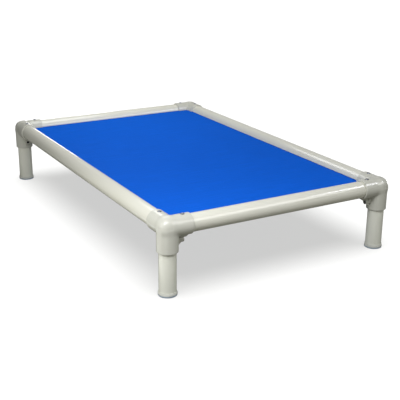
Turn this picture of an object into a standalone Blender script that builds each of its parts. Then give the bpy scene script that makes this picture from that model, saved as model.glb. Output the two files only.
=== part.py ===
"""Raised dog bed: a fabric sheet held taut in a frame of plastic tubes on four short legs.

Units are metres and +Z is up. The origin is on the floor under the middle of the bed, +X runs
along the bed and +Y across it. Every corner is the same three-way fitting, turned by a quarter
turn, so corner pieces are modelled once for the corner at +X +Y and then placed four times.
"""
import math

import bmesh
import bpy
from mathutils import Matrix, Vector

# Driving dimensions
SPAN_X = 0.970            # between the leg axes, along the bed
SPAN_Y = 0.594            # between the leg axes, across the bed
RAIL_HEIGHT = 0.161       # rail axis above the floor
RAIL_RADIUS = 0.0211      # 42.2 mm tube
RAIL_WALL = 0.0035
LEG_RADIUS = 0.0203
LEG_WALL = 0.0032
CLEARANCE = 0.0003        # between pieces that touch

# Corner fitting
SOCKET_RADIUS = 0.0244
LEG_SOCKET_RADIUS = 0.0248
SOCKET_REACH = 0.055      # from the corner's axes to the rim of a rail socket
LEG_SOCKET_REACH = 0.057
RIM_CHAMFER = 0.0010
BALL_RADIUS = 0.0252      # at the axes
BALL_POWER = 2.3
CORE_RADIUS = 0.0190      # round hollow in the middle
PASSAGE_RADIUS = 0.0095   # from the hollow to each tube, through the stop it butts on
PASSAGE_START = 0.01045   # inside the hollow, where the three passages stay clear of each other
TUBE_STOP = 0.0240        # from the corner's axes to the end of each tube
WEB_THICKNESS = 0.0052
WEB_REACH = 0.0540        # where the gusset meets the rail socket
WEB_DROP = 0.0495         # where the gusset meets the leg socket
WEB_HOLLOW = 0.0006       # how far its free edge curves in
BOSS_RADIUS = 0.0063
BOSS_END = 0.0392
BOSS_DROP = 0.0345        # boss axis below the rail axis
BOSS_BORE = 0.0050
BOSS_BORE_DEPTH = 0.0060
BURIED = 0.6              # how deep a web or boss starts in a socket, as a share of its radius
WEB_TOUCH = 0.98          # where the web's free edge enters a socket, likewise

# Fabric and the splines that hold it in the rails
FABRIC_RISE = 0.0020      # fabric plane above the rail axis
FABRIC_THICKNESS = 0.0012
PANEL_RISE = 0.0002       # the taut panel stands this much above the edges that enter the slots
PANEL_INSET = 0.0255      # panel edge, inboard of the rail axes
SLOT_HEIGHT = 0.0030
HEM_RADIUS = 0.0045
SPLINE_RADIUS = 0.0030
HEM_INSET = 0.0122        # hem axis, inboard of the rail axis
HEM_START = 0.0300        # hem end, from the corner's axes
SPLINE_START = 0.0280

# Screws
TOP_SCREW_PLACE = 0.0370  # from the corner's axes
TOP_SCREW_HEAD = 0.0046
TOP_SCREW_HEAD_HEIGHT = 0.0024
TOP_SCREW_SHANK = 0.0020
TOP_SCREW_LENGTH = 0.0130
SPOT_FACE_DEPTH = 0.0006
LEG_SCREW_HEAD = 0.0046
LEG_SCREW_HEAD_HEIGHT = 0.0040
LEG_SCREW_SHANK = 0.0023
LEG_SCREW_TIP = 0.0140    # from the leg's axis
HEAD_RIM = 0.45           # height of a pan head's upright rim, as a share of the head's height
HEAD_SHOULDER = (0.75, 0.85)  # radius and height of its rounded shoulder, as shares of the head's
POINT_RADIUS = 0.3        # blunt end of the point, as a share of the shank's radius
POINT_LENGTH = 2          # length of the point in shank radii

# Foot caps
CAP_RADIUS = 0.0223
CAP_HEIGHT = 0.0100
CAP_BELT = 0.0050         # height of its widest part, above which it tapers to its lip
CAP_LIP_RADIUS = 0.0215
CAP_FLOOR = 0.0025
CAP_CHAMFER = 0.0010

# Flats round each round shape
TUBE_STEPS = 32
BOSS_STEPS = 16
SPLINE_STEPS = 16
HEM_STEPS = 14
SCREW_STEPS = 12
WEB_STEPS = 6             # along the web's curved edge

OVERCUT = 0.010           # how far a cut runs past the surface it opens
WALL_OVERCUT = 0.002      # the same on the hidden side of a wall
SHARP_ANGLE = math.radians(35)

CORNERS = {               # name: quarter turns from the corner at +X +Y
    "front_left": 0,
    "back_left": 1,
    "back_right": 2,
    "front_right": 3,
}


def clear_scene():
    for item in list(bpy.data.objects):
        bpy.data.objects.remove(item, do_unlink=True)


def material(name, colour, roughness, metallic=0.0):
    made = bpy.data.materials.new(name)
    made.use_nodes = True
    shader = made.node_tree.nodes["Principled BSDF"]
    shader.inputs["Base Color"].default_value = (*colour, 1.0)
    shader.inputs["Roughness"].default_value = roughness
    shader.inputs["Metallic"].default_value = metallic
    return made


def mesh_from(bm, name):
    """A mesh with its faces pointing out, smooth across its round sides."""
    bmesh.ops.recalc_face_normals(bm, faces=bm.faces)
    mesh = bpy.data.meshes.new(name)
    bm.to_mesh(mesh)
    bm.free()
    mesh.shade_smooth()
    mesh.set_sharp_from_angle(angle=SHARP_ANGLE)
    return mesh


def place(name, mesh, look, matrix=None):
    mesh.materials.clear()
    mesh.materials.append(look)
    item = bpy.data.objects.new(name, mesh)
    if matrix is not None:
        item.matrix_world = matrix
    bpy.context.collection.objects.link(item)
    return item


def along(axis):
    """Turn that takes +Z to the axis."""
    return Vector((0, 0, 1)).rotation_difference(Vector(axis)).to_matrix().to_4x4()


def turned(profile, steps, name):
    """Solid of revolution about Z. The profile's (radius, height) points start and end on the axis."""
    bm = bmesh.new()
    rings = []
    for radius, height in profile:
        if radius == 0:
            rings.append([bm.verts.new((0, 0, height))])
            continue
        angles = [2 * math.pi * (i + 0.5) / steps for i in range(steps)]
        rings.append([bm.verts.new((radius * math.cos(a), radius * math.sin(a), height)) for a in angles])
    for low, high in zip(rings, rings[1:]):
        for i in range(steps):
            j = (i + 1) % steps
            corners = [low[i % len(low)], low[j % len(low)], high[j % len(high)], high[i % len(high)]]
            bm.faces.new(list(dict.fromkeys(corners)))
    return mesh_from(bm, name)


def cylinder(radius, start, end, axis, steps=TUBE_STEPS, centre=(0, 0, 0)):
    """Construction cylinder along the axis, between two distances from the centre."""
    mesh = turned([(0, start), (radius, start), (radius, end), (0, end)], steps, "cylinder")
    mesh.transform(Matrix.Translation(centre) @ along(axis))
    return mesh


def block(low, high):
    bm = bmesh.new()
    bmesh.ops.create_cube(bm, size=1)
    size = Vector(high) - Vector(low)
    middle = (Vector(high) + Vector(low)) / 2
    bmesh.ops.transform(bm, matrix=Matrix.LocRotScale(middle, None, size), verts=bm.verts)
    return mesh_from(bm, "block")


def prism(outline, thickness, name):
    """Outline in X and Z, extruded evenly to both sides of Y = 0."""
    bm = bmesh.new()
    face = bm.faces.new([bm.verts.new((x, -thickness / 2, z)) for x, z in outline])
    moved = bmesh.ops.extrude_face_region(bm, geom=[face])["geom"]
    shift = Vector((0, thickness, 0))
    bmesh.ops.translate(bm, vec=shift, verts=[v for v in moved if isinstance(v, bmesh.types.BMVert)])
    return mesh_from(bm, name)


def combine(mesh, name, add=(), cut=()):
    """The mesh with others joined to it and then others cut from it, as one new mesh."""
    base = bpy.data.objects.new("base", mesh)
    bpy.context.collection.objects.link(base)
    tools, groups = [], []
    for operation, group in (("UNION", add), ("DIFFERENCE", cut)):
        if not group:
            continue
        together = bpy.data.collections.new(operation)
        bpy.context.scene.collection.children.link(together)
        groups.append(together)
        for other in group:
            tool = bpy.data.objects.new("tool", other)
            together.objects.link(tool)
            tools.append(tool)
        step = base.modifiers.new(operation, "BOOLEAN")
        step.operation = operation
        step.operand_type = "COLLECTION"
        step.collection = together
    graph = bpy.context.evaluated_depsgraph_get()
    made = bpy.data.meshes.new_from_object(base.evaluated_get(graph))
    made.name = name
    for item in [base, *tools]:
        bpy.data.objects.remove(item, do_unlink=True)
    for together in groups:
        bpy.data.collections.remove(together)
    made.shade_smooth()
    made.set_sharp_from_angle(angle=SHARP_ANGLE)
    return made


def tube(radius, wall, start, end, name, slot=None, steps=TUBE_STEPS):
    """Tube along X. A slot (height of its middle, its width) opens the side that faces -Y."""
    inner = radius - wall
    bm = bmesh.new()

    def ring(r, x):
        if slot is None:
            angles = [2 * math.pi * (i + 0.5) / steps for i in range(steps)]
        else:
            upper = math.asin((slot[0] + slot[1] / 2) / r)
            lower = math.asin((slot[0] - slot[1] / 2) / r)
            first, last = math.pi - lower, 3 * math.pi - upper
            angles = [first + (last - first) * i / steps for i in range(steps + 1)]
        return [bm.verts.new((x, r * math.cos(a), r * math.sin(a))) for a in angles]

    loops = [ring(radius, start), ring(radius, end), ring(inner, end), ring(inner, start)]
    count = len(loops[0])
    for a, b in zip(loops, loops[1:] + loops[:1]):
        for i in range(count if slot is None else count - 1):
            j = (i + 1) % count
            bm.faces.new([a[i], a[j], b[j], b[i]])
    if slot is not None:
        bm.faces.new([loop[0] for loop in loops])
        bm.faces.new([loop[-1] for loop in loops])
    return mesh_from(bm, name)


def ball(radius, power, subdivisions):
    """Superellipsoid. A power of 2 gives a sphere, more gives fuller corners."""
    bm = bmesh.new()
    bmesh.ops.create_icosphere(bm, subdivisions=subdivisions, radius=1)
    for vert in bm.verts:
        total = sum(abs(part) ** power for part in vert.co)
        vert.co *= radius / total ** (1 / power)
    return mesh_from(bm, "ball")


def socket(radius, reach, axis):
    profile = [
        (0, 0),
        (radius, 0),
        (radius, reach - RIM_CHAMFER),
        (radius - RIM_CHAMFER, reach),
        (0, reach),
    ]
    mesh = turned(profile, TUBE_STEPS, "socket")
    mesh.transform(along(axis))
    return mesh


def gusset_web():
    """Web in the plane Y = 0, between the socket along -X and the leg socket along -Z."""
    inside = BURIED * SOCKET_RADIUS
    start = Vector((-WEB_REACH, -WEB_TOUCH * SOCKET_RADIUS))
    end = Vector((-WEB_TOUCH * SOCKET_RADIUS, -WEB_DROP))
    inward = Vector((1, 1)).normalized()
    edge = []
    for i in range(WEB_STEPS + 1):
        t = i / WEB_STEPS
        edge.append(start.lerp(end, t) + inward * WEB_HOLLOW * 4 * t * (1 - t))
    outline = [(-inside, -inside), (-WEB_REACH, -inside), *edge, (-inside, -WEB_DROP)]
    return prism(outline, WEB_THICKNESS, "web")


def swap_xy(mesh):
    """The same shape mirrored in the diagonal plane, with its faces still pointing out."""
    other = mesh.copy()
    other.transform(Matrix(((0, 1, 0, 0), (1, 0, 0, 0), (0, 0, 1, 0), (0, 0, 0, 1))))
    other.flip_normals()
    return other


def corner_fitting():
    """Three-way fitting at the corner +X +Y, with its origin where the rail axes meet."""
    bore = RAIL_RADIUS + CLEARANCE
    leg_bore = LEG_RADIUS + CLEARANCE
    stop = TUBE_STOP - CLEARANCE
    slot_low = FABRIC_RISE - SLOT_HEIGHT / 2
    slot_high = FABRIC_RISE + SLOT_HEIGHT / 2
    top = SOCKET_RADIUS - SPOT_FACE_DEPTH
    outside = SOCKET_REACH + OVERCUT

    side_adds = [
        socket(SOCKET_RADIUS, SOCKET_REACH, (-1, 0, 0)),
        gusset_web(),
        cylinder(BOSS_RADIUS, BURIED * SOCKET_RADIUS, BOSS_END, (-1, 0, 0), BOSS_STEPS, (0, 0, -BOSS_DROP)),
    ]
    head_seat = BOSS_END - BOSS_BORE_DEPTH
    side_cuts = [
        cylinder(bore, stop, outside, (-1, 0, 0)),
        block((-outside, -SOCKET_RADIUS - OVERCUT, slot_low),
              (-SOCKET_RADIUS + CLEARANCE, -CORE_RADIUS, slot_high)),
        cylinder(TOP_SCREW_HEAD + 2 * CLEARANCE, top, top + OVERCUT, (0, 0, 1), SCREW_STEPS,
                 (-TOP_SCREW_PLACE, 0, 0)),
        cylinder(TOP_SCREW_SHANK + CLEARANCE, CORE_RADIUS, top + OVERCUT, (0, 0, 1), SCREW_STEPS,
                 (-TOP_SCREW_PLACE, 0, 0)),
        cylinder(BOSS_BORE, head_seat, BOSS_END + OVERCUT, (-1, 0, 0), SCREW_STEPS, (0, 0, -BOSS_DROP)),
        cylinder(LEG_SCREW_SHANK + CLEARANCE, LEG_SCREW_TIP, head_seat + WALL_OVERCUT, (-1, 0, 0),
                 SCREW_STEPS, (0, 0, -BOSS_DROP)),
    ]
    adds = [socket(LEG_SOCKET_RADIUS, LEG_SOCKET_REACH, (0, 0, -1))]
    cuts = [cylinder(leg_bore, stop, LEG_SOCKET_REACH + OVERCUT, (0, 0, -1)), ball(CORE_RADIUS, 2, 2)]
    for axis in ((-1, 0, 0), (0, -1, 0), (0, 0, -1)):
        cuts.append(cylinder(PASSAGE_RADIUS, PASSAGE_START, stop + OVERCUT, axis, SCREW_STEPS))
    for mesh in side_adds:
        adds += [mesh, swap_xy(mesh)]
    for mesh in side_cuts:
        cuts += [mesh, swap_xy(mesh)]
    return combine(ball(BALL_RADIUS, BALL_POWER, 3), "corner_fitting", adds, cuts)


def rail(span, name):
    """Rail along X with its slot towards -Y and a screw hole near each end."""
    half = span / 2 - TUBE_STOP
    body = tube(RAIL_RADIUS, RAIL_WALL, -half, half, name, (FABRIC_RISE, SLOT_HEIGHT))
    low = RAIL_RADIUS - RAIL_WALL - WALL_OVERCUT
    holes = []
    for side in (-1, 1):
        place_x = side * (span / 2 - TOP_SCREW_PLACE)
        holes.append(cylinder(TOP_SCREW_SHANK + CLEARANCE, low, SOCKET_RADIUS, (0, 0, 1), SCREW_STEPS,
                              (place_x, 0, 0)))
    return combine(body, name, cut=holes)


def leg():
    """Leg of the corner +X +Y, its origin where the rail axes meet, with two screw holes."""
    low = RAIL_HEIGHT - CAP_FLOOR - CLEARANCE
    body = tube(LEG_RADIUS, LEG_WALL, TUBE_STOP, low, "leg")
    body.transform(along((1, 0, 0)).inverted())
    body.transform(Matrix.Rotation(math.pi, 4, "X"))
    holes = []
    for axis in ((-1, 0, 0), (0, -1, 0)):
        holes.append(cylinder(LEG_SCREW_SHANK + CLEARANCE, LEG_RADIUS - LEG_WALL - WALL_OVERCUT,
                              SOCKET_RADIUS, axis, SCREW_STEPS, (0, 0, -BOSS_DROP)))
    return combine(body, "leg", cut=holes)


def foot_cap():
    """Cup pushed onto the end of a leg, with its origin on the floor."""
    inner = LEG_RADIUS + CLEARANCE
    profile = [
        (0, 0),
        (CAP_RADIUS - CAP_CHAMFER, 0),
        (CAP_RADIUS, CAP_CHAMFER),
        (CAP_RADIUS, CAP_BELT),
        (CAP_LIP_RADIUS, CAP_HEIGHT),
        (inner, CAP_HEIGHT),
        (inner, CAP_FLOOR),
        (0, CAP_FLOOR),
    ]
    return turned(profile, TUBE_STEPS, "foot_cap")


def screw(head, head_height, shank, length, name):
    """Pan-head screw pointing down, with its origin under the head."""
    profile = [
        (0, -length),
        (shank * POINT_RADIUS, -length),
        (shank, -length + POINT_LENGTH * shank),
        (shank, 0),
        (head, 0),
        (head, head_height * HEAD_RIM),
        (head * HEAD_SHOULDER[0], head_height * HEAD_SHOULDER[1]),
        (0, head_height),
    ]
    return turned(profile, SCREW_STEPS, name)


def fabric():
    """Flat sheet that runs through the slots of the rails up to its hems."""
    edge = SOCKET_RADIUS + CLEARANCE
    hem_side = HEM_INSET + HEM_RADIUS + CLEARANCE
    half_x, half_y = SPAN_X / 2, SPAN_Y / 2
    quarter = [
        (half_x - hem_side, half_y - HEM_START),
        (half_x - edge, half_y - HEM_START),
        (half_x - edge, half_y - edge),
        (half_x - HEM_START, half_y - edge),
        (half_x - HEM_START, half_y - hem_side),
    ]
    outline = quarter + [(-x, y) for x, y in reversed(quarter)]
    outline += [(x, -y) for x, y in reversed(outline)]
    sheet = prism(outline, FABRIC_THICKNESS, "sheet")
    sheet.transform(Matrix.Rotation(math.pi / 2, 4, "X"))
    reach = Vector((half_x - PANEL_INSET, half_y - PANEL_INSET, 0))
    panel = block(-reach, reach + Vector((0, 0, FABRIC_THICKNESS / 2 + PANEL_RISE)))
    return combine(sheet, "fabric", [panel])


def hem(span):
    """Tubular hem along X that the spline fills."""
    half = span / 2 - HEM_START
    return tube(HEM_RADIUS, HEM_RADIUS - SPLINE_RADIUS - CLEARANCE, -half, half, "hem", steps=HEM_STEPS)


def spline(span):
    """Rod along X that keeps a hem in its rail."""
    half = span / 2 - SPLINE_START
    return cylinder(SPLINE_RADIUS, -half, half, (1, 0, 0), SPLINE_STEPS)


def corner_matrix(turns):
    """Where the corner after so many quarter turns is, at the height of the rail axes."""
    sx, sy = [(1, 1), (-1, 1), (-1, -1), (1, -1)][turns]
    spot = Vector((sx * SPAN_X / 2, sy * SPAN_Y / 2, RAIL_HEIGHT))
    return Matrix.Translation(spot) @ Matrix.Rotation(turns * math.pi / 2, 4, "Z")


def place_corners(looks):
    fitting, leg_mesh, cap = corner_fitting(), leg(), foot_cap()
    seat = SOCKET_RADIUS - SPOT_FACE_DEPTH + CLEARANCE
    head = BOSS_END - BOSS_BORE_DEPTH + CLEARANCE
    top_screw = screw(TOP_SCREW_HEAD, TOP_SCREW_HEAD_HEIGHT, TOP_SCREW_SHANK, TOP_SCREW_LENGTH, "top_screw")
    leg_screw = screw(LEG_SCREW_HEAD, LEG_SCREW_HEAD_HEIGHT, LEG_SCREW_SHANK, head - LEG_SCREW_TIP, "leg_screw")
    for corner, turns in CORNERS.items():
        at = corner_matrix(turns)
        place(f"corner_fitting_{corner}", fitting, looks["fitting"], at)
        place(f"leg_{corner}", leg_mesh, looks["tube"], at)
        place(f"foot_cap_{corner}", cap, looks["cap"], at @ Matrix.Translation((0, 0, -RAIL_HEIGHT)))
        for number, axis in enumerate(((-1, 0, 0), (0, -1, 0)), 1):
            out = Vector(axis)
            top = at @ Matrix.Translation(out * TOP_SCREW_PLACE + Vector((0, 0, seat)))
            place(f"top_screw_{corner}_{number}", top_screw, looks["steel"], top)
            side = at @ Matrix.Translation(out * head - Vector((0, 0, BOSS_DROP))) @ along(axis)
            place(f"leg_screw_{corner}_{number}", leg_screw, looks["black"], side)


def place_sides(looks):
    raised = Matrix.Translation((0, 0, RAIL_HEIGHT))
    for span, across, names in (
        (SPAN_X, SPAN_Y, {"left": 0, "right": 2}),
        (SPAN_Y, SPAN_X, {"front": 3, "back": 1}),
    ):
        rail_mesh = rail(span, "rail")
        spline_mesh, hem_mesh = spline(span), hem(span)
        for side, turns in names.items():
            out = Matrix.Rotation(turns * math.pi / 2, 4, "Z") @ Matrix.Translation((0, across / 2, 0))
            place(f"rail_{side}", rail_mesh, looks["tube"], raised @ out)
            inboard = Matrix.Translation((0, -HEM_INSET, FABRIC_RISE))
            place(f"spline_{side}", spline_mesh, looks["spline"], raised @ out @ inboard)
            place(f"hem_{side}", hem_mesh, looks["fabric"], raised @ out @ inboard)


def main():
    clear_scene()
    looks = {
        "tube": material("almond_tube", (0.70, 0.69, 0.60), 0.28),
        "fitting": material("almond_fitting", (0.62, 0.61, 0.53), 0.42),
        "cap": material("foot_cap_vinyl", (0.42, 0.50, 0.53), 0.45),
        "steel": material("stainless_steel", (0.55, 0.56, 0.58), 0.30, 1.0),
        "black": material("black_oxide", (0.02, 0.02, 0.025), 0.40, 0.6),
        "fabric": material("blue_fabric", (0.008, 0.11, 0.62), 0.75),
        "spline": material("spline_plastic", (0.75, 0.75, 0.72), 0.50),
    }
    place_corners(looks)
    place_sides(looks)
    place("fabric", fabric(), looks["fabric"], Matrix.Translation((0, 0, RAIL_HEIGHT + FABRIC_RISE)))


main()
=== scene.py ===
import math

import bmesh
import bpy
import numpy as np
from mathutils import Matrix, Vector


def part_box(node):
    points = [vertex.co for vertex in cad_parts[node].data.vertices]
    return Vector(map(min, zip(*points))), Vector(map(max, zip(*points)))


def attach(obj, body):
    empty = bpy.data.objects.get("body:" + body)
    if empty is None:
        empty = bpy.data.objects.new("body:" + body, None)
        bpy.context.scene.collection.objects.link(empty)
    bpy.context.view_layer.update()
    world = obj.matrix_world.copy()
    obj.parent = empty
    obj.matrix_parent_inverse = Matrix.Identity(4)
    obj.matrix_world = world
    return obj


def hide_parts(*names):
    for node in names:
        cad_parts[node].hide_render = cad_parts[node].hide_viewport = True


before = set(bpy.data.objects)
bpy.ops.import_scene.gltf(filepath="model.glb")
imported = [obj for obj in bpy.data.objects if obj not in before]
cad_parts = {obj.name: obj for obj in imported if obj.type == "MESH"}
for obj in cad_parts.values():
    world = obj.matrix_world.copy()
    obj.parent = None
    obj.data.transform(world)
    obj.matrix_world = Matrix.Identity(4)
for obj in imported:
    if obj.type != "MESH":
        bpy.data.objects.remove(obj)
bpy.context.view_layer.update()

CORNERS = {"front_left": 0, "back_left": 1, "back_right": 2, "front_right": 3}    # quarter turns
SIDES = {"left": 0, "back": 1, "right": 2, "front": 3}
SMOOTH_ANGLE = math.radians(38)    # edges bent more than this are sharp
FITTING_ANGLE = math.radians(50)
SHEET_ANGLE = math.radians(60)
CLOTH_ANGLE = math.radians(80)

# Tubes
RAIL_RADIUS = 0.0211
RAIL_WALL = 0.0035
LEG_RADIUS = 0.0203
LEG_WALL = 0.0032
TUBE_STOP = 0.0240
CLEARANCE = 0.0003
TUBE_STEPS = 96

# Corner fitting
SOCKET_RADIUS = 0.0244
LEG_SOCKET_RADIUS = 0.0248
SOCKET_REACH = 0.0550
LEG_SOCKET_REACH = 0.0570
RIM_ROUND = 0.0013
BALL_RADIUS = 0.0246
BALL_POWER = 2.35
SOCKET_BLEND = 0.0032
WEB_THICKNESS = 0.0052
WEB_ROUND = 0.0008
WEB_START = (0.0540, 0.0240)      # where the free edge leaves the rail socket: along it, down
WEB_END = (0.0240, 0.0495)        # where it meets the leg socket
WEB_HOLLOW = 0.0006
WEB_BLEND = 0.0022
BOSS_RADIUS = 0.0063
BOSS_END = 0.0392
BOSS_DROP = 0.0345
BOSS_ROUND = 0.0007
BOSS_BORE = 0.0050
BOSS_BORE_DEPTH = 0.0060
BORE_MOUTH = 0.0005               # width of the chamfer at the mouth of a bore
OVERCUT = 0.010                   # how far a cut runs past the surface it opens
NET_CELL = 0.0011                 # spacing of the fitting's mesh
NET_ROUNDS = 3                    # rounds of evening out that mesh

# Fabric
FABRIC_RISE = 0.0020              # middle of the slots above the rail axes
SLOT_HEIGHT = 0.0030
SHEET_THICKNESS = 0.0010
LAYER_OFFSET = 0.0005             # the upper layer runs above the middle of the slot, the lower below
HEM_INSET = 0.0122                # hem axis, inboard of the rail axis
HEM_WRAP = 0.0038                 # radius of the sheet's middle round its spline
HEM_START = 0.0300                # hem end, from the corner's axes
FLAP_END = 0.0300                 # inner edge of the sewn flap, from the rail axis
SEAM_INSET = 0.0272
SEAM_MARGIN = 0.0012              # the sheet's mesh has lines this far to each side of a seam
SHEET_CORNER = 0.0247
SHEET_SAG = 0.0016
RIPPLES = ((0.00012, 19, 7, 0.0), (0.00008, -11, 31, 1.3))    # height, waves along X and Y, phase
SHEET_CELL = 0.012                # widest spacing of the sheet's mesh
SLOT_INSIDE = 0.0172              # where the layers part behind the slot, from the rail axis
HEM_GAP = 62                      # degrees left open on each side of the hem's mouth
HEM_STEPS = 16
STITCH_PITCH = 0.0042
STITCH_LENGTH = 0.0031
STITCH_RADIUS = 0.00033
STITCH_STEPS = 6

# Stage
FLOOR_REACH = 30
FLOOR_TONE = (0.15, 0.15, 0.15)
FLOOR_GLOW = (0.600, 0.600, 0.590)
FLOOR_SUN = 10.4
FLOOR_SUN_SIZE = math.radians(60)
FLOOR_SUN_FROM = (0.10, -0.08, 1.0)
SKY, GROUND = (0.12, 0.12, 0.125), (0.13, 0.13, 0.11)
HORIZON = 0.25                    # half the band over which the ground's colour turns into the sky's
BACKGROUND = (1.0, 1.0, 1.0)
COOL, WHITE = (0.98, 0.99, 1.06), (1.0, 1.0, 1.0)
LIGHTS = (    # name, place, aimed at, side, power, colour
    ("key", (0.95, -1.02, 1.10), (0.60, -0.50, 0.16), 0.32, 7.2, COOL),
    ("top_near", (0.92, -0.50, 1.10), (0.92, -0.50, 0.0), 0.60, 7.9, COOL),
    ("top_middle", (-0.42, 0.0, 0.80), (-0.42, 0.0, 0.0), 0.40, 2.3, WHITE),
    ("top_far", (-0.80, 0.20, 1.10), (-0.80, 0.20, 0.0), 0.60, 0.9, WHITE),
    ("right_low", (1.91, 1.10, 1.48), (0.0, 0.0, 0.1), 0.80, 11.0, WHITE),
    ("right_high", (1.18, 1.41, 1.50), (0.2, 0.0, 0.1), 0.36, 5.8, COOL),
    ("front", (0.48, -0.84, 0.36), (0.25, -0.15, 0.1), 0.60, 2.1, WHITE),
    ("backdrop", (-2.60, 1.50, 0.80), (0.0, 0.0, 0.1), 3.00, 9.5, WHITE),
    ("end_fill", (-1.80, 0.35, 0.12), (-0.5, 0.0, 0.1), 0.40, 2.8, WHITE),
    ("rear_fill", (-0.10, 1.80, 0.12), (0.0, 0.3, 0.1), 0.40, 5.0, WHITE),
    ("floor_left", (0.25, -0.62, 0.01), (0.25, -0.62, 1.0), 0.45, 0.68, WHITE),
    ("floor_near", (0.85, -0.62, 0.01), (0.85, -0.62, 1.0), 0.40, 0.38, WHITE),
    ("floor_right", (0.80, 0.0, 0.01), (0.80, 0.0, 1.0), 0.50, 0.20, WHITE),
    ("floor_far", (-0.60, -0.62, 0.01), (-0.60, -0.62, 1.0), 0.45, 0.20, WHITE),
)

# Camera, fitted to the outlines of the rails and legs
CAMERA_LENS = 75.045              # mm on a sensor 36 mm wide
CAMERA_SENSOR = 36.0
CAMERA_PLACE = (1.98583, -1.07709, 0.81375)
CAMERA_HEADING, CAMERA_TILT, CAMERA_ROLL = (math.radians(a) for a in (60.14962, 70.75923, 0.51111))

# Screws
TOP_SCREW_PLACE = 0.0370
TOP_SCREW_HEAD = 0.0046
TOP_SCREW_HEAD_HEIGHT = 0.0024
TOP_SCREW_DOME = 0.0017           # height of the rounded part of its head
TOP_SCREW_SHANK = 0.0020
TOP_SCREW_LENGTH = 0.0130
SPOT_FACE_DEPTH = 0.0006
LEG_SCREW_HEAD = 0.0046
LEG_SCREW_HEAD_HEIGHT = 0.0040
LEG_SCREW_DOME = 0.0020
LEG_SCREW_SHANK = 0.0023
LEG_SCREW_LENGTH = 0.0200
RECESS_DEPTH = 0.0014
RECESS_ARM = 0.55                 # reach of the cross recess, as a share of the head's radius
RECESS_WIDTH = 0.0011
RECESS_MOUTH = 1.15               # its arms above the head, as a share of their reach at the head
RECESS_FLOOR = 0.35               # its arms at the bottom, likewise
POINT_RADIUS = 0.3                # blunt end of the point, as a share of the shank's radius
POINT_LENGTH = 2                  # length of the point in shank radii
SCREW_STEPS = 48
DOME_STEPS = 10
SCREW_TURNS = (12, 71, 40, 155, 98, 23, 130, 64, 5, 85, 33, 111, 150, 48, 76, 19)    # degrees

# Foot caps
CAP_RADIUS = 0.0223
CAP_HEIGHT = 0.0100
CAP_FLOOR = 0.0025
CAP_BELT = 0.0050                 # height of its widest part
CAP_LIP_RADIUS = 0.0215
CAP_TAPER_STEPS = 6


def middle(node):
    low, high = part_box(node)
    return (low + high) / 2


RAIL_HEIGHT = middle("leg_screw_front_left_1").z + BOSS_DROP
SPAN_X = 2 * middle("foot_cap_front_left").x
SPAN_Y = 2 * middle("foot_cap_front_left").y


# Meshes

def finished(mesh, angle=SMOOTH_ANGLE):
    mesh.shade_smooth()
    mesh.set_sharp_from_angle(angle=angle)
    return mesh


def mesh_from(bm, name, angle=SMOOTH_ANGLE):
    bmesh.ops.recalc_face_normals(bm, faces=bm.faces)
    mesh = bpy.data.meshes.new(name)
    bm.to_mesh(mesh)
    bm.free()
    return finished(mesh, angle)


def along(axis):
    """Turn that takes +Z to the axis."""
    return Vector((0, 0, 1)).rotation_difference(Vector(axis)).to_matrix().to_4x4()


def turned(profile, steps, name, ring=False):
    """Solid of revolution about Z. The profile starts and ends on the axis, or is a closed ring."""
    bm = bmesh.new()
    rings = []
    for radius, height in profile:
        if radius == 0:
            rings.append([bm.verts.new((0, 0, height))])
            continue
        angles = [2 * math.pi * i / steps for i in range(steps)]
        rings.append([bm.verts.new((radius * math.cos(a), radius * math.sin(a), height)) for a in angles])
    pairs = list(zip(rings, rings[1:]))
    if ring:
        pairs.append((rings[-1], rings[0]))
    for low, high in pairs:
        for i in range(steps):
            j = (i + 1) % steps
            corners = [low[i % len(low)], low[j % len(low)], high[j % len(high)], high[i % len(high)]]
            bm.faces.new(list(dict.fromkeys(corners)))
    return mesh_from(bm, name)


def rounded_corner(centre, radius, start, end, steps=5):
    """Points of an arc, from one angle to another in degrees."""
    angles = [math.radians(start + (end - start) * i / steps) for i in range(steps + 1)]
    return [(centre[0] + radius * math.cos(a), centre[1] + radius * math.sin(a)) for a in angles]


def block(low, high):
    bm = bmesh.new()
    bmesh.ops.create_cube(bm, size=1)
    size, centre = Vector(high) - Vector(low), (Vector(high) + Vector(low)) / 2
    bmesh.ops.transform(bm, matrix=Matrix.LocRotScale(centre, None, size), verts=bm.verts)
    return mesh_from(bm, "block")


def moved(mesh, matrix):
    mesh.transform(matrix)
    return mesh


def swap_xy(mesh):
    """The mesh mirrored in the corner's diagonal plane."""
    other = mesh.copy()
    other.transform(Matrix(((0, 1, 0, 0), (1, 0, 0, 0), (0, 0, 1, 0), (0, 0, 0, 1))))
    other.flip_normals()
    return other


def evaluated(item, name):
    """The object's mesh with its modifiers applied. The object is removed."""
    made = bpy.data.meshes.new_from_object(item.evaluated_get(bpy.context.evaluated_depsgraph_get()))
    made.name = name
    bpy.data.objects.remove(item, do_unlink=True)
    return made


def cut_away(mesh, cutters, name, angle=SMOOTH_ANGLE):
    """The mesh with the cutters taken out of it."""
    base = bpy.data.objects.new("base", mesh)
    bpy.context.scene.collection.objects.link(base)
    group = bpy.data.collections.new("cutters")
    bpy.context.scene.collection.children.link(group)
    tools = [bpy.data.objects.new("cutter", cutter) for cutter in cutters]
    for tool in tools:
        group.objects.link(tool)
    step = base.modifiers.new("cut", "BOOLEAN")
    step.operation = "DIFFERENCE"
    step.operand_type = "COLLECTION"
    step.collection = group
    made = evaluated(base, name)
    for tool in tools:
        bpy.data.objects.remove(tool, do_unlink=True)
    bpy.data.collections.remove(group)
    return finished(made, angle)


# Corner fitting: a distance field, its surface as a net of quads, then clean bores

def soft_union(a, b, width):
    overlap = np.maximum(width - np.abs(a - b), 0) / width
    return np.minimum(a, b) - overlap * overlap * width / 4


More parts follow.
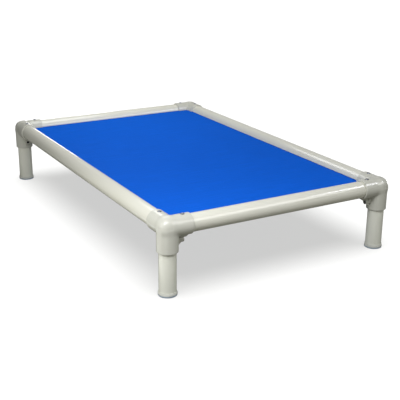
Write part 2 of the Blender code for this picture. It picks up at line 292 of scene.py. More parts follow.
def rounded_pair(p, q, radius):
    """Distance to the rounded intersection of two half spaces, given how far each is passed."""
    p, q = p + radius, q + radius
    return np.hypot(np.maximum(p, 0), np.maximum(q, 0)) + np.minimum(np.maximum(p, q), 0) - radius


def bar_distance(reach, across, radius, length, rounding):
    return rounded_pair(across - radius, np.maximum(reach - length, -reach), rounding)


def web_distance(reach, side, drop):
    """Gusset web between a rail socket and the leg socket. Its free edge is an arc."""
    start, end = Vector(WEB_START), Vector(WEB_END)
    chord = end - start
    out = Vector((chord.y, -chord.x)).normalized()
    if out.x < 0:
        out.negate()
    radius = chord.length_squared / (8 * WEB_HOLLOW) + WEB_HOLLOW / 2
    centre = (start + end) / 2 + out * (radius - WEB_HOLLOW)
    edge = radius - np.hypot(reach - centre.x, drop - centre.y)
    outline = np.maximum(edge, np.maximum(reach - WEB_START[0], drop - WEB_END[1]))
    outline = np.maximum(outline, np.maximum(-reach, -drop))
    return rounded_pair(np.abs(side) - WEB_THICKNESS / 2, outline, WEB_ROUND)


def fitting_distance(points):
    x, y, z = points[..., 0], points[..., 1], points[..., 2]
    total = np.abs(x) ** BALL_POWER + np.abs(y) ** BALL_POWER + np.abs(z) ** BALL_POWER
    field = total ** (1 / BALL_POWER) - BALL_RADIUS
    leg = bar_distance(-z, np.hypot(x, y), LEG_SOCKET_RADIUS, LEG_SOCKET_REACH, RIM_ROUND)
    field = soft_union(field, leg, SOCKET_BLEND)
    for reach, side in ((-x, y), (-y, x)):
        rail = bar_distance(reach, np.hypot(side, z), SOCKET_RADIUS, SOCKET_REACH, RIM_ROUND)
        field = soft_union(field, rail, SOCKET_BLEND)
    for reach, side in ((-x, y), (-y, x)):
        web = web_distance(reach, side, -z)
        boss = bar_distance(reach, np.hypot(side, z + BOSS_DROP), BOSS_RADIUS, BOSS_END, BOSS_ROUND)
        field = soft_union(field, soft_union(web, boss, WEB_BLEND / 2), WEB_BLEND)
    return field


def net_quads(inside, index):
    """Quads across every grid edge that passes through the surface, facing out."""
    quads = []
    for axis in range(3):
        a, b = [k for k in range(3) if k != axis]
        low = np.take(inside, range(inside.shape[axis] - 1), axis)
        high = np.take(inside, range(1, inside.shape[axis]), axis)
        spots = np.argwhere(low != high)
        spots = spots[(spots[:, a] > 0) & (spots[:, b] > 0)]
        outward = low[tuple(spots.T)]
        cells = []
        for da, db in ((0, 0), (1, 0), (1, 1), (0, 1)):
            cell = spots.copy()
            cell[:, a] -= da
            cell[:, b] -= db
            cells.append(index[tuple(cell.T)])
        quad = np.stack(cells, 1)
        flip = outward if axis == 1 else ~outward
        quad[flip] = quad[flip][:, ::-1]
        quads.append(quad)
    return np.concatenate(quads)


def on_surface(field, points, rounds=3):
    """The points moved onto the field's zero surface."""
    step = 1e-5
    for _ in range(rounds):
        value = field(points)
        slope = np.stack([(field(points + step * axis) - value) / step for axis in np.eye(3)], 1)
        points = points - slope * (value / np.maximum((slope ** 2).sum(1), 1e-6))[:, None]
    return points


def net_mesh(field, low, high, cell, name):
    """Surface net of a distance field."""
    grid = [np.arange(a, b + cell, cell) for a, b in zip(low, high)]
    nodes = np.stack(np.meshgrid(*grid, indexing="ij"), -1)
    value = field(nodes)
    inside = value < 0
    shape = [n - 1 for n in inside.shape]
    total, count = np.zeros((*shape, 3)), np.zeros(shape)

    def corner(array, offset):
        return array[tuple(slice(o, o + n) for o, n in zip(offset, shape))]

    for axis in range(3):
        others = [k for k in range(3) if k != axis]
        for da in (0, 1):
            for db in (0, 1):
                first = [0, 0, 0]
                first[others[0]], first[others[1]] = da, db
                second = list(first)
                second[axis] = 1
                v0, v1 = corner(value, first), corner(value, second)
                crossed = (v0 < 0) != (v1 < 0)
                share = np.where(crossed, v0 / np.where(crossed, v0 - v1, 1), 0)[..., None]
                crossing = (1 - share) * corner(nodes, first) + share * corner(nodes, second)
                total += crossed[..., None] * crossing
                count += crossed
    active = count > 0
    index = np.full(shape, -1)
    index[active] = np.arange(active.sum())
    points = total[active] / count[active][:, None]
    quads = net_quads(inside, index)
    ends = np.concatenate([quads, np.roll(quads, -1, 1)], 0)
    links = np.stack([ends[:len(quads)].ravel(), ends[len(quads):].ravel()], 1)
    for _ in range(NET_ROUNDS):
        around, degree = np.zeros_like(points), np.zeros(len(points))
        for a, b in ((0, 1), (1, 0)):
            np.add.at(around, links[:, a], points[links[:, b]])
            np.add.at(degree, links[:, a], 1)
        points = on_surface(field, (points + around / degree[:, None]) / 2)
    mesh = bpy.data.meshes.new(name)
    mesh.from_pydata(points.tolist(), [], quads.tolist())
    return finished(mesh)


def fitting_cutters():
    """What is taken out of a fitting: tube bores, fabric slots, screw seats and screw bores."""
    mouth, past = BORE_MOUTH, OVERCUT
    cutters = []
    for axis, radius, reach in (
        ((-1, 0, 0), RAIL_RADIUS, SOCKET_REACH),
        ((0, -1, 0), RAIL_RADIUS, SOCKET_REACH),
        ((0, 0, -1), LEG_RADIUS, LEG_SOCKET_REACH),
    ):
        bore = radius + CLEARANCE
        profile = [(0, TUBE_STOP - CLEARANCE), (bore, TUBE_STOP - CLEARANCE), (bore, reach - mouth),
                   (bore + mouth, reach), (bore + mouth, reach + past), (0, reach + past)]
        cutters.append(moved(turned(profile, TUBE_STEPS, "bore"), along(axis)))
    outside = SOCKET_REACH + past
    slot = block((-outside, -SOCKET_RADIUS - past, FABRIC_RISE - SLOT_HEIGHT / 2),
                 (-SOCKET_RADIUS + CLEARANCE, -SOCKET_RADIUS / 2, FABRIC_RISE + SLOT_HEIGHT / 2))
    seat_z = SOCKET_RADIUS - SPOT_FACE_DEPTH
    seat_radius = TOP_SCREW_HEAD + 2 * CLEARANCE
    seat = turned([(0, seat_z), (seat_radius, seat_z), (seat_radius, seat_z + past), (0, seat_z + past)],
                  SCREW_STEPS, "seat")
    seat.transform(Matrix.Translation((-TOP_SCREW_PLACE, 0, 0)))
    floor = BOSS_END - BOSS_BORE_DEPTH
    profile = [(0, floor), (BOSS_BORE, floor), (BOSS_BORE, BOSS_END - mouth), (BOSS_BORE + mouth, BOSS_END),
               (BOSS_BORE + mouth, BOSS_END + past), (0, BOSS_END + past)]
    bore = moved(turned(profile, SCREW_STEPS, "boss_bore"),
                 Matrix.Translation((0, 0, -BOSS_DROP)) @ along((-1, 0, 0)))
    for cutter in (slot, seat, bore):
        cutters += [cutter, swap_xy(cutter)]
    return cutters


def fitting_mesh():
    spare = 3 * NET_CELL
    low = (-SOCKET_REACH - spare, -SOCKET_REACH - spare, -LEG_SOCKET_REACH - spare)
    high = (BALL_RADIUS + spare,) * 3
    body = net_mesh(fitting_distance, low, high, NET_CELL, "fitting_body")
    return cut_away(body, fitting_cutters(), "fitting", FITTING_ANGLE)


# Tubes, caps and screws

def rail_mesh(length, name):
    """Rail along X, open along a slot with rounded lips on its -Y side."""
    inner = RAIL_RADIUS - RAIL_WALL
    lip, steps = 0.0005, 4
    half_slot = SLOT_HEIGHT / 2

    def at(radius, height):
        return (-math.sqrt(radius * radius - height * height), height)

    def arc(radius, first, last, count):
        angles = [first + (last - first) * i / count for i in range(count + 1)]
        return [(radius * math.cos(a), radius * math.sin(a)) for a in angles]

    def angle_of(point):
        return math.atan2(point[1], point[0]) % (2 * math.pi)

    upper, lower = FABRIC_RISE + half_slot, FABRIC_RISE - half_slot
    outer_start, outer_end = at(RAIL_RADIUS, lower - lip), at(RAIL_RADIUS, upper + lip)
    inner_start, inner_end = at(inner, upper + lip), at(inner, lower - lip)
    outer = arc(RAIL_RADIUS, angle_of(outer_start), angle_of(outer_end) + 2 * math.pi, TUBE_STEPS)
    inside = arc(inner, angle_of(inner_start) + 2 * math.pi, angle_of(inner_end), TUBE_STEPS)

    def lip_curve(start, end, corner):
        """Rounded edge from one point to another, bulging to the corner."""
        made = []
        for i in range(1, steps):
            t = i / steps
            made.append(tuple((1 - t) ** 2 * s + 2 * t * (1 - t) * c + t * t * e
                              for s, c, e in zip(start, corner, end)))
        return made

    outer_up, inner_up = at(RAIL_RADIUS - lip, upper), at(inner + lip, upper)
    outer_low, inner_low = at(RAIL_RADIUS - lip, lower), at(inner + lip, lower)
    profile = list(outer)
    profile += lip_curve(outer_end, outer_up, at(RAIL_RADIUS, upper)) + [outer_up, inner_up]
    profile += lip_curve(inner_up, inner_start, at(inner, upper))
    profile += list(inside)
    profile += lip_curve(inner_end, inner_low, at(inner, lower)) + [inner_low, outer_low]
    profile += lip_curve(outer_low, outer_start, at(RAIL_RADIUS, lower))
    bm = bmesh.new()
    rows = [[bm.verts.new((x, y, z)) for y, z in profile] for x in (-length / 2, length / 2)]
    for i in range(len(profile)):
        j = (i + 1) % len(profile)
        bm.faces.new([rows[0][i], rows[0][j], rows[1][j], rows[1][i]])
    for row in rows:
        bm.faces.new(row)
    return mesh_from(bm, name)


def leg_mesh(top, bottom, name):
    inner = LEG_RADIUS - LEG_WALL
    edge = 0.0004
    profile = [(inner, bottom), (LEG_RADIUS - edge, bottom), (LEG_RADIUS, bottom + edge), (LEG_RADIUS, top),
               (inner, top)]
    return turned(profile, TUBE_STEPS, name, ring=True)


def cap_mesh():
    """Soft cup with a rounded heel, a thin lip and a shallow ring under its floor."""
    inner = LEG_RADIUS + CLEARANCE
    heel, lip = 0.0016, 0.0004
    ring_radius, ring_depth, ring_width = 0.0150, 0.0005, 0.0012
    profile = [(0, ring_depth), (ring_radius - ring_width, ring_depth), (ring_radius, 0)]
    profile += rounded_corner((CAP_RADIUS - heel, heel), heel, -90, 0)
    for i in range(CAP_TAPER_STEPS + 1):
        t = i / CAP_TAPER_STEPS
        ease = t * t * (3 - 2 * t)
        profile.append((CAP_RADIUS + (CAP_LIP_RADIUS - CAP_RADIUS) * ease,
                        CAP_BELT + (CAP_HEIGHT - lip - CAP_BELT) * t))
    profile += rounded_corner((CAP_LIP_RADIUS - lip, CAP_HEIGHT - lip), lip, 15, 90)
    profile += rounded_corner((inner + lip, CAP_HEIGHT - lip), lip, 90, 180)
    profile += [(inner, CAP_FLOOR), (0, CAP_FLOOR)]
    return turned(profile, TUBE_STEPS, "cap")


def cross_cutter(top, depth, arm, width):
    """Cross-shaped tapering recess, sunk from the given height."""
    bm = bmesh.new()
    rows = []
    for height, reach, half in (
        (top + depth / 2, arm * RECESS_MOUTH, width / 2),
        (top - depth, arm * RECESS_FLOOR, width * RECESS_FLOOR),
    ):
        outline = []
        for quarter in range(4):
            turn = Matrix.Rotation(quarter * math.pi / 2, 2)
            for x, y in ((half, -half), (reach, -half), (reach, half)):
                spot = turn @ Vector((x, y))
                outline.append(bm.verts.new((spot.x, spot.y, height)))
        rows.append(outline)
    for i in range(len(rows[0])):
        j = (i + 1) % len(rows[0])
        bm.faces.new([rows[0][i], rows[0][j], rows[1][j], rows[1][i]])
    for row in rows:
        bm.faces.new(row)
    return mesh_from(bm, "cross")


def screw_mesh(head, height, shank, length, dome, name):
    """Pan-head screw pointing down, its origin under the head, with a cross recess."""
    rim = height - dome
    profile = [(0, -length), (shank * POINT_RADIUS, -length), (shank, -length + POINT_LENGTH * shank),
               (shank, 0), (head, 0)]
    profile += [(head * math.cos(a), rim + dome * math.sin(a))
                for a in (math.radians(90 * i / DOME_STEPS) for i in range(DOME_STEPS))]
    profile += [(0, height)]
    blank = turned(profile, SCREW_STEPS, name)
    recess = cross_cutter(height, RECESS_DEPTH, head * RECESS_ARM, RECESS_WIDTH)
    return cut_away(blank, [recess], name)


# Fabric

def hem_path():
    """Cross-section of the sheet at one side, as (inboard distance from the rail axis, height above
    the middle of the slot), from the sewn flap under the sheet, round the spline, to the upper layer."""
    flap = [FLAP_END, SEAM_INSET, SHEET_CORNER, RAIL_RADIUS, SLOT_INSIDE]
    path = [(inset, -LAYER_OFFSET) for inset in flap]
    for i in range(HEM_STEPS + 1):
        angle = math.radians(-HEM_GAP - (360 - 2 * HEM_GAP) * i / HEM_STEPS)
        path.append((HEM_INSET + HEM_WRAP * math.cos(angle), HEM_WRAP * math.sin(angle)))
    path += [(inset, LAYER_OFFSET) for inset in (SLOT_INSIDE, RAIL_RADIUS)]
    return path


def sheet_lines(half):
    """Grid lines across the sheet in one direction: (place, height, whether the line lies outboard
    of the sheet's corners)."""
    path = [(half - inset, height) for inset, height in hem_path()]
    edge, seam, start = half - SHEET_CORNER, half - SEAM_INSET, half - HEM_START
    inner = [edge, seam + SEAM_MARGIN, seam, seam - SEAM_MARGIN, start]
    count = math.ceil(2 * start / SHEET_CELL)
    flat = [start - 2 * start * i / count for i in range(1, count)]
    lines = [(place, height, True) for place, height in path]
    lines += [(place, LAYER_OFFSET, False) for place in inner + flat]
    lines += [(-place, LAYER_OFFSET, False) for place in reversed(inner)]
    lines += [(-place, height, True) for place, height in reversed(path)]
    return lines


def sheet_drop(x, y):
    """How the taut sheet sags between the rails, with faint long ripples off the corners."""
    u, v = 2 * x / (SPAN_X - 2 * SHEET_CORNER), 2 * y / (SPAN_Y - 2 * SHEET_CORNER)
    inside = max(0.0, 1 - u * u) * max(0.0, 1 - v * v)
    ripple = sum(height * math.sin(a * x + b * y + phase) for height, a, b, phase in RIPPLES)
    return -SHEET_SAG * inside ** 0.8 + ripple * inside ** 0.5


def path_length(lines):
    return sum(math.dist(a[:2], b[:2]) for a, b in zip(lines, lines[1:]))


def sheet_mesh():
    lines_x, lines_y = sheet_lines(SPAN_X / 2), sheet_lines(SPAN_Y / 2)
    slack = 1e-6
    limit_x, limit_y = SPAN_X / 2 - HEM_START + slack, SPAN_Y / 2 - HEM_START + slack
    bm = bmesh.new()
    verts = {}

    def vert(i, j):
        if (i, j) not in verts:
            (x, high_x, _), (y, high_y, _) = lines_x[i], lines_y[j]
            height = RAIL_HEIGHT + FABRIC_RISE + high_x + high_y - LAYER_OFFSET + sheet_drop(x, y)
            verts[i, j] = bm.verts.new((x, y, height))
        return verts[i, j]

    for i in range(len(lines_x) - 1):
        out_x = lines_x[i][2] or lines_x[i + 1][2]
        far_x = max(abs(lines_x[i][0]), abs(lines_x[i + 1][0])) > limit_x
        for j in range(len(lines_y) - 1):
            out_y = lines_y[j][2] or lines_y[j + 1][2]
            far_y = max(abs(lines_y[j][0]), abs(lines_y[j + 1][0])) > limit_y
            if (out_x and (far_y or out_y)) or (out_y and far_x):
                continue
            bm.faces.new([vert(i, j), vert(i, j + 1), vert(i + 1, j + 1), vert(i + 1, j)])
    mesh = mesh_from(bm, "sheet_surface", CLOTH_ANGLE)
    item = bpy.data.objects.new("sheet", mesh)
    bpy.context.scene.collection.objects.link(item)
    solid = item.modifiers.new("thickness", "SOLIDIFY")
    solid.thickness = SHEET_THICKNESS
    solid.offset = 0
    solid.use_even_offset = True
    flat = (path_length(lines_x), path_length(lines_y))
    return finished(evaluated(item, "sheet"), SHEET_ANGLE), flat


def stitch(bm, place, turn):
    """Spindle of thread lying along X, or along Y when turned."""
    profile = [(-1.0, 0.25), (-0.75, 0.8), (0.0, 1.0), (0.75, 0.8), (1.0, 0.25)]
    x, y, z = place
    rings = []
    for t, share in profile:
        ring = []
        for k in range(STITCH_STEPS):
            a = 2 * math.pi * k / STITCH_STEPS
            u, v = STITCH_RADIUS * share * math.cos(a), STITCH_RADIUS * share * math.sin(a)
            w = t * STITCH_LENGTH / 2
            ring.append(bm.verts.new((x + u, y + w, z + v) if turn else (x + w, y + u, z + v)))
        rings.append(ring)
    for low, high in zip(rings, rings[1:]):
        for k in range(STITCH_STEPS):
            j = (k + 1) % STITCH_STEPS
            bm.faces.new([low[k], low[j], high[j], high[k]])
    bm.faces.new(rings[0])
    bm.faces.new(rings[-1])


def seam_mesh():
    """Short stitches of thread along the hem seams, over and under the sheet."""
    top, bottom = LAYER_OFFSET + SHEET_THICKNESS / 2, -LAYER_OFFSET - SHEET_THICKNESS / 2
    bm = bmesh.new()
    for span, across, turn in ((SPAN_X, SPAN_Y, False), (SPAN_Y, SPAN_X, True)):
        reach = span / 2 - HEM_START - STITCH_PITCH
        for side in (-1, 1):
            off = side * (across / 2 - SEAM_INSET)
            for i in range(int(2 * reach / STITCH_PITCH)):
                for layer, shift in ((top, 0.0), (bottom, 0.5)):
                    run = -reach + (i + 0.5 + shift) * STITCH_PITCH
                    x, y = (off, run) if turn else (run, off)
                    stitch(bm, (x, y, RAIL_HEIGHT + FABRIC_RISE + layer + sheet_drop(x, y)), turn)
    return mesh_from(bm, "seam", CLOTH_ANGLE)


# Materials

class Look:
    """A Principled material and the nodes that feed it."""

    def __init__(self, name, colour, roughness, **fixed):
        self.material = bpy.data.materials.new(name)
        self.material.use_nodes = True
        self.tree = self.material.node_tree
        self.shader = self.tree.nodes["Principled BSDF"]
        self.shader.inputs["Base Color"].default_value = (*colour, 1)
        self.shader.inputs["Roughness"].default_value = roughness
        for socket, value in fixed.items():
            self.shader.inputs[socket.replace("_", " ")].default_value = value
        self.place = self.node("ShaderNodeTexCoord").outputs["Object"]

    def node(self, kind, settings=None, **inputs):
        made = self.tree.nodes.new(kind)
        for name, value in (settings or {}).items():
            setattr(made, name, value)
        for name, value in inputs.items():
            socket = made.inputs[int(name[1:])] if name[0] == "_" else made.inputs[name.replace("_", " ")]
            self.feed(socket, value)
        return made

    def feed(self, socket, value):
        if isinstance(value, bpy.types.NodeSocket):
            self.tree.links.new(value, socket)
        else:
            socket.default_value = value

    def scaled(self, scale):
        return self.node("ShaderNodeMapping", Vector=self.place, Scale=scale).outputs["Vector"]

    def noise(self, scale, detail=2.0, place=None, roughness=0.5):
        made = self.node("ShaderNodeTexNoise", Vector=place or self.place, Scale=scale, Detail=detail,
                         Roughness=roughness)
        return made.outputs["Fac"]

    def spread(self, value, low, high, start=0.3, end=0.7):
        made = self.node("ShaderNodeMapRange", Value=value, From_Min=start, From_Max=end, To_Min=low,
                         To_Max=high)
        return made.outputs["Result"]

    def mixed(self, share, first, second, blend="MIX"):
        made = self.node("ShaderNodeMix", {"data_type": "RGBA", "blend_type": blend}, _0=share)
        self.feed(made.inputs[6], (*first, 1) if isinstance(first, tuple) else first)
        self.feed(made.inputs[7], (*second, 1) if isinstance(second, tuple) else second)
        return made.outputs[2]

    def sum(self, first, second, operation="ADD"):
        return self.node("ShaderNodeMath", {"operation": operation}, _0=first, _1=second).outputs[0]

    def bump(self, height, distance, strength=1.0, normal=None):
        made = self.node("ShaderNodeBump", Height=height, Distance=distance, Strength=strength)
        if normal is not None:
            self.feed(made.inputs["Normal"], normal)
        return made.outputs["Normal"]

    def set(self, **links):
        for socket, value in links.items():
            self.feed(self.shader.inputs[socket.replace("_", " ")], value)
        return self.material


def shade(colour, factor):
    return tuple(part * factor for part in colour)


def tube_look(name, colour, axis):
    """Extruded plastic, glossy: faint draw lines along the tube and a slight unevenness of tone."""
    look = Look(name, colour, 0.14, Specular_IOR_Level=0.5, IOR=1.5)
    stretch = [240.0, 240.0, 240.0]
    stretch[axis] = 1.2
    lines = look.noise(1.0, 2, look.scaled(stretch))
    mottle = look.noise(9.0, 2)
    tone = look.mixed(look.spread(lines, 0, 1), shade(colour, 0.992), shade(colour, 1.006))
    warm = tuple(part * k for part, k in zip(colour, (0.995, 0.99, 0.97)))
    tone = look.mixed(look.spread(mottle, 0, 0.6, 0.4, 0.7), tone, warm)
    normal = look.bump(lines, 0.000004, 0.4)
    return look.set(Base_Color=tone, Roughness=look.spread(mottle, 0.13, 0.15), Normal=normal)


def fitting_look():
    """Moulded plastic: fine spark-eroded grain, a painted highlight on the rims and painted shade in the
    creases.
    """
    # Greyer than the tubes as moulded, and darkened further as painted shade for the sockets shaded by the
    # ball above
    colour = (0.55, 0.55, 0.47)
    look = Look("moulded_fitting", colour, 0.16, Specular_IOR_Level=0.5, IOR=1.5)
    grain = look.noise(1300.0, 3)
    flow = look.noise(45.0, 4)
    bend = look.node("ShaderNodeNewGeometry").outputs["Pointiness"]
    tone = look.mixed(look.spread(flow, 0, 1), shade(colour, 0.98), shade(colour, 1.015))
    # Painted shade: concave creases made darker
    tone = look.mixed(look.spread(bend, 0.22, 0, 0.44, 0.495), tone, (0.40, 0.39, 0.32))
    # Painted highlight: sharp convex rims made paler
    tone = look.mixed(look.spread(bend, 0, 0.25, 0.515, 0.56), tone, (0.66, 0.66, 0.60))
    rough = look.sum(look.spread(flow, 0.14, 0.17), look.spread(grain, 0, 0.02))
    normal = look.bump(grain, 0.00001, 0.4)
    return look.set(Base_Color=tone, Roughness=rough, Normal=normal)


def cap_look():
    """Soft vinyl, milky over the leg and blue-grey towards the heel, darker still along its bottom edge."""
    look = Look("soft_vinyl", (0.4, 0.46, 0.5), 0.42, Specular_IOR_Level=0.45)
    height = look.node("ShaderNodeSeparateXYZ", Vector=look.place).outputs["Z"]
    cloud = look.noise(160.0, 3)
    wavy = look.sum(height, look.spread(cloud, -0.0003, 0.0003))
    tone = look.mixed(look.spread(wavy, 0, 1, 0.0030, 0.0048), (0.33, 0.41, 0.49), (0.62, 0.625, 0.545))
    # Darker along the bottom edge, from 0.1 to 0.7 mm up
    tone = look.mixed(look.spread(wavy, 0.5, 0, 0.0001, 0.0007), tone, (0.20, 0.23, 0.25))
    rough = look.spread(cloud, 0.36, 0.5)
    normal = look.bump(look.noise(900.0, 3), 0.00005, 0.6)
    return look.set(Base_Color=tone, Roughness=rough, Normal=normal)


def steel_look():
    look = Look("stainless", (0.30, 0.31, 0.34), 0.35, Metallic=1.0)
    brushed = look.noise(1.0, 3, look.scaled((2500.0, 300.0, 300.0)))
    tone = look.mixed(look.spread(brushed, 0, 1), (0.24, 0.25, 0.28), (0.36, 0.37, 0.40))
    return look.set(Base_Color=tone, Roughness=look.spread(brushed, 0.3, 0.45),
                    Normal=look.bump(brushed, 0.00002, 0.5))


def black_look():
    look = Look("black_oxide", (0.012, 0.012, 0.014), 0.45, Specular_IOR_Level=0.4)
    spots = look.noise(900.0, 3)
    tone = look.mixed(look.spread(spots, 0, 1), (0.008, 0.008, 0.010), (0.022, 0.021, 0.022))
    return look.set(Base_Color=tone, Roughness=look.spread(spots, 0.38, 0.55),
                    Normal=look.bump(spots, 0.00003, 0.5))


def weave_look():
    """Coated plain weave: warp and weft yarns crossing one over the other."""
    yarn = 0.0009
    colour = (0.0030, 0.106, 0.605)
    look = Look("blue_weave", colour, 0.85, Specular_IOR_Level=0.03)
    wave = math.pi / 10 / yarn
    warp, weft = (look.node("ShaderNodeTexWave", {"bands_direction": axis}, Vector=look.place,
                            Scale=wave).outputs["Fac"] for axis in "XY")
    flat = look.node("ShaderNodeMapping", Vector=look.place, Scale=(1.0, 1.0, 0.0)).outputs["Vector"]
    over = look.node("ShaderNodeTexChecker", Vector=flat, Scale=1 / yarn).outputs["Fac"]
    height = look.node("ShaderNodeMix", _0=over, _2=warp, _3=weft).outputs[0]
    slub = look.noise(1.0, 3, look.scaled((14.0, 320.0, 1.0)))
    slub_across = look.noise(1.0, 3, look.scaled((320.0, 14.0, 1.0)))
    cloud = look.noise(7.0, 4)
    # Painted shade: the weave is darker where its yarns dip and lighter on their crowns
    tone = look.mixed(look.spread(height, 0, 1, 0, 1), shade(colour, 0.88), shade(colour, 1.08))
    tone = look.mixed(look.spread(slub, 0, 0.8), tone, shade(colour, 0.86))
    tone = look.mixed(look.spread(slub_across, 0, 0.8), tone, shade(colour, 1.12))
    tone = look.mixed(look.spread(cloud, 0, 0.35), tone, shade(colour, 0.93))
    rough = look.spread(height, 0.86, 0.72, 0, 1)
    normal = look.bump(look.sum(height, slub), 0.00006, 0.45)
    return look.set(Base_Color=tone, Roughness=rough, Normal=normal)


def thread_look():
    look = Look("blue_thread", (0.005, 0.075, 0.42), 0.6, Specular_IOR_Level=0.3)
    twist = look.noise(2600.0, 2)
    tone = look.mixed(look.spread(twist, 0, 1), (0.004, 0.06, 0.36), (0.008, 0.10, 0.55))
    return look.set(Base_Color=tone, Normal=look.bump(twist, 0.00005, 0.6))


def floor_look():
    look = Look("studio_floor", FLOOR_TONE, 0.9, Specular_IOR_Level=0.1,
                Emission_Color=(*FLOOR_GLOW, 1.0), Emission_Strength=1.0)
    return look.material


# Placing

def piece(name, mesh, look, slot, matrix, *nodes):
    """A visible piece in place of CAD nodes."""
    if not mesh.materials:
        mesh.materials.append(look)
    item = bpy.data.objects.new(name, mesh)
    bpy.context.scene.collection.objects.link(item)
    item.matrix_world = matrix
    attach(item, "root")
    if nodes:
        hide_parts(*nodes)
    return item


def corner_matrix(corner):
    spot = middle(f"foot_cap_{corner}")
    turn = Matrix.Rotation(CORNERS[corner] * math.pi / 2, 4, "Z")
    return Matrix.Translation((spot.x, spot.y, RAIL_HEIGHT)) @ turn


def build_corners():
    fitting, cap = fitting_mesh(), cap_mesh()
    leg = leg_mesh(-TUBE_STOP, -RAIL_HEIGHT + CAP_FLOOR + CLEARANCE, "leg")
    top_screw = screw_mesh(TOP_SCREW_HEAD, TOP_SCREW_HEAD_HEIGHT, TOP_SCREW_SHANK, TOP_SCREW_LENGTH,
                           TOP_SCREW_DOME, "top_screw")
    leg_screw = screw_mesh(LEG_SCREW_HEAD, LEG_SCREW_HEAD_HEIGHT, LEG_SCREW_SHANK, LEG_SCREW_LENGTH,
                           LEG_SCREW_DOME, "leg_screw")
    head_seat = BOSS_END - BOSS_BORE_DEPTH + CLEARANCE
    looks = {
        # Painted light: the legs take a paler copy of the rails' tube colour, standing in for the floor's
        # bounce light on them
        "fitting": fitting_look(), "leg": tube_look("leg_tube", (0.77, 0.775, 0.665), 2), "cap": cap_look(),
        "steel": steel_look(), "black": black_look(),
    }
    turns = iter(SCREW_TURNS)
    for corner in CORNERS:
        at = corner_matrix(corner)
        piece(f"fine_fitting_{corner}", fitting, looks["fitting"], "fitting", at, f"corner_fitting_{corner}")
        piece(f"fine_leg_{corner}", leg, looks["leg"], "leg", at, f"leg_{corner}")
        down = at @ Matrix.Translation((0, 0, -RAIL_HEIGHT))
        piece(f"fine_cap_{corner}", cap, looks["cap"], "foot_cap", down, f"foot_cap_{corner}")
        for number, axis in enumerate(((-1, 0, 0), (0, -1, 0)), 1):
            out = Vector(axis)
            seat = SOCKET_RADIUS - SPOT_FACE_DEPTH + CLEARANCE / 3
            turn = Matrix.Rotation(math.radians(next(turns)), 4, "Z")
            top = at @ Matrix.Translation(out * TOP_SCREW_PLACE + Vector((0, 0, seat))) @ turn
            piece(f"fine_top_screw_{corner}_{number}", top_screw, looks["steel"], "stainless_screw", top,
                  f"top_screw_{corner}_{number}")
            turn = Matrix.Rotation(math.radians(next(turns)), 4, "Z")
            side = at @ Matrix.Translation(out * head_seat - Vector((0, 0, BOSS_DROP))) @ along(axis) @ turn
            piece(f"fine_leg_screw_{corner}_{number}", leg_screw, looks["black"], "black_screw", side,
                  f"leg_screw_{corner}_{number}")


def build_rails():
    look = tube_look("rail_tube", (0.68, 0.675, 0.575), 0)
    long_rail = rail_mesh(SPAN_X - 2 * TUBE_STOP, "long_rail")
    short_rail = rail_mesh(SPAN_Y - 2 * TUBE_STOP, "short_rail")
    for side, turns in SIDES.items():
        mesh = long_rail if side in ("left", "right") else short_rail
        spot = middle(f"rail_{side}")
        at = Matrix.Translation((spot.x, spot.y, RAIL_HEIGHT)) @ Matrix.Rotation(turns * math.pi / 2, 4, "Z")
        piece(f"fine_rail_{side}", mesh, look, "rail", at, f"rail_{side}")


def build_fabric():
    mesh, flat = sheet_mesh()
    still = Matrix.Identity(4)
    sheet = piece("fine_fabric", mesh, weave_look(), "fabric", still, "fabric", "hem_left", "hem_back",
                  "hem_right", "hem_front")
    seam = piece("hem_stitches", seam_mesh(), thread_look(), "fabric", still)


def finish_splines():
    """The rods inside the hems keep their CAD shape."""
    look = Look("spline_rod", (0.75, 0.75, 0.72), 0.5)
    mark = look.noise(1.0, 3, look.scaled((400.0, 400.0, 400.0)))
    tone = look.mixed(look.spread(mark, 0, 1), (0.70, 0.70, 0.67), (0.78, 0.78, 0.75))
    made = look.set(Base_Color=tone, Normal=look.bump(mark, 0.00004, 0.5))
    for side in SIDES:
        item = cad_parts[f"spline_{side}"]
        for slot in item.material_slots:
            slot.material = made


# Stage

def placed_lamp(name, kind, power, place, target):
    lamp = bpy.data.lights.new(name, kind)
    lamp.energy = power
    item = bpy.data.objects.new(name, lamp)
    item.location = place
    item.rotation_euler = (Vector(target) - Vector(place)).to_track_quat("-Z", "Y").to_euler()
    item.visible_camera = False
    bpy.context.scene.collection.objects.link(item)
    return item


def light_floor(lamps, floor, state):
    """Makes the lamps light the floor alone, or all but the floor."""
    group = bpy.data.collections.new(f"floor_{state.lower()}")
    group.objects.link(floor)
    group.collection_objects[0].light_linking.link_state = state
    for lamp in lamps:
        lamp.light_linking.receiver_collection = group


def build_floor():
    """Pale floor that takes the bed's shadow but adds no light and no reflection to the bed."""
    mesh = bpy.data.meshes.new("floor")
    corners = [(x * FLOOR_REACH, y * FLOOR_REACH, 0) for x, y in ((-1, -1), (1, -1), (1, 1), (-1, 1))]
    mesh.from_pydata(corners, [], [(0, 1, 2, 3)])
    mesh.materials.append(floor_look())
    floor = bpy.data.objects.new("floor", mesh)
    bpy.context.scene.collection.objects.link(floor)
    floor.visible_diffuse = floor.visible_glossy = floor.visible_shadow = False
    return floor


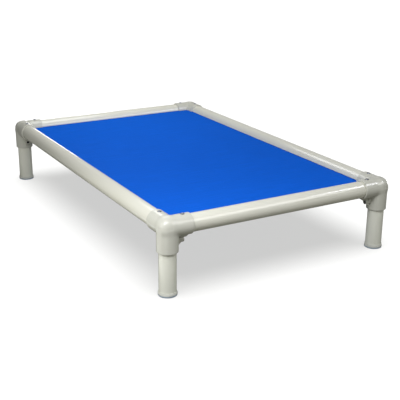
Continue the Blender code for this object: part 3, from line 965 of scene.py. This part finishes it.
def build_world():
    """Dim ground and sky round the bed. The camera sees a plain background in their place."""
    world = bpy.data.worlds.new("studio")
    bpy.context.scene.world = world
    world.use_nodes = True
    nodes, links = world.node_tree.nodes, world.node_tree.links
    split = nodes.new("ShaderNodeSeparateXYZ")
    links.new(nodes.new("ShaderNodeTexCoord").outputs["Generated"], split.inputs[0])
    ramp = nodes.new("ShaderNodeMapRange")
    ramp.inputs["From Min"].default_value, ramp.inputs["From Max"].default_value = -HORIZON, HORIZON
    links.new(split.outputs["Z"], ramp.inputs["Value"])
    round_bed, seen = nodes.new("ShaderNodeMix"), nodes.new("ShaderNodeMix")
    round_bed.data_type = seen.data_type = "RGBA"
    round_bed.inputs[6].default_value, round_bed.inputs[7].default_value = (*GROUND, 1), (*SKY, 1)
    seen.inputs[7].default_value = (*BACKGROUND, 1)
    links.new(ramp.outputs["Result"], round_bed.inputs[0])
    links.new(nodes.new("ShaderNodeLightPath").outputs["Is Camera Ray"], seen.inputs[0])
    links.new(round_bed.outputs[2], seen.inputs[6])
    links.new(seen.outputs[2], nodes["Background"].inputs["Color"])


def build_stage():
    floor = build_floor()
    build_world()
    lamps = []
    for name, place, target, side, power, colour in LIGHTS:
        lamps.append(placed_lamp(name, "AREA", power, place, target))
        lamps[-1].data.size = side
        lamps[-1].data.color = colour
    light_floor(lamps, floor, "EXCLUDE")
    sun = placed_lamp("floor_sun", "SUN", FLOOR_SUN, FLOOR_SUN_FROM, (0, 0, 0))
    sun.data.angle = FLOOR_SUN_SIZE
    light_floor([sun], floor, "INCLUDE")
    bpy.context.scene.view_settings.view_transform = "Standard"


def build_camera():
    eye = bpy.data.cameras.new("camera")
    eye.lens, eye.sensor_width = CAMERA_LENS, CAMERA_SENSOR
    eye.clip_start, eye.clip_end = 0.05, 100.0
    item = bpy.data.objects.new("camera", eye)
    turn = Matrix.Rotation(CAMERA_HEADING, 4, "Z") @ Matrix.Rotation(CAMERA_TILT, 4, "X")
    turn = turn @ Matrix.Rotation(CAMERA_ROLL, 4, "Z")
    item.matrix_world = Matrix.Translation(CAMERA_PLACE) @ turn
    bpy.context.scene.collection.objects.link(item)
    bpy.context.scene.camera = item


build_camera()
build_stage()
build_corners()
build_rails()
build_fabric()
finish_splines()
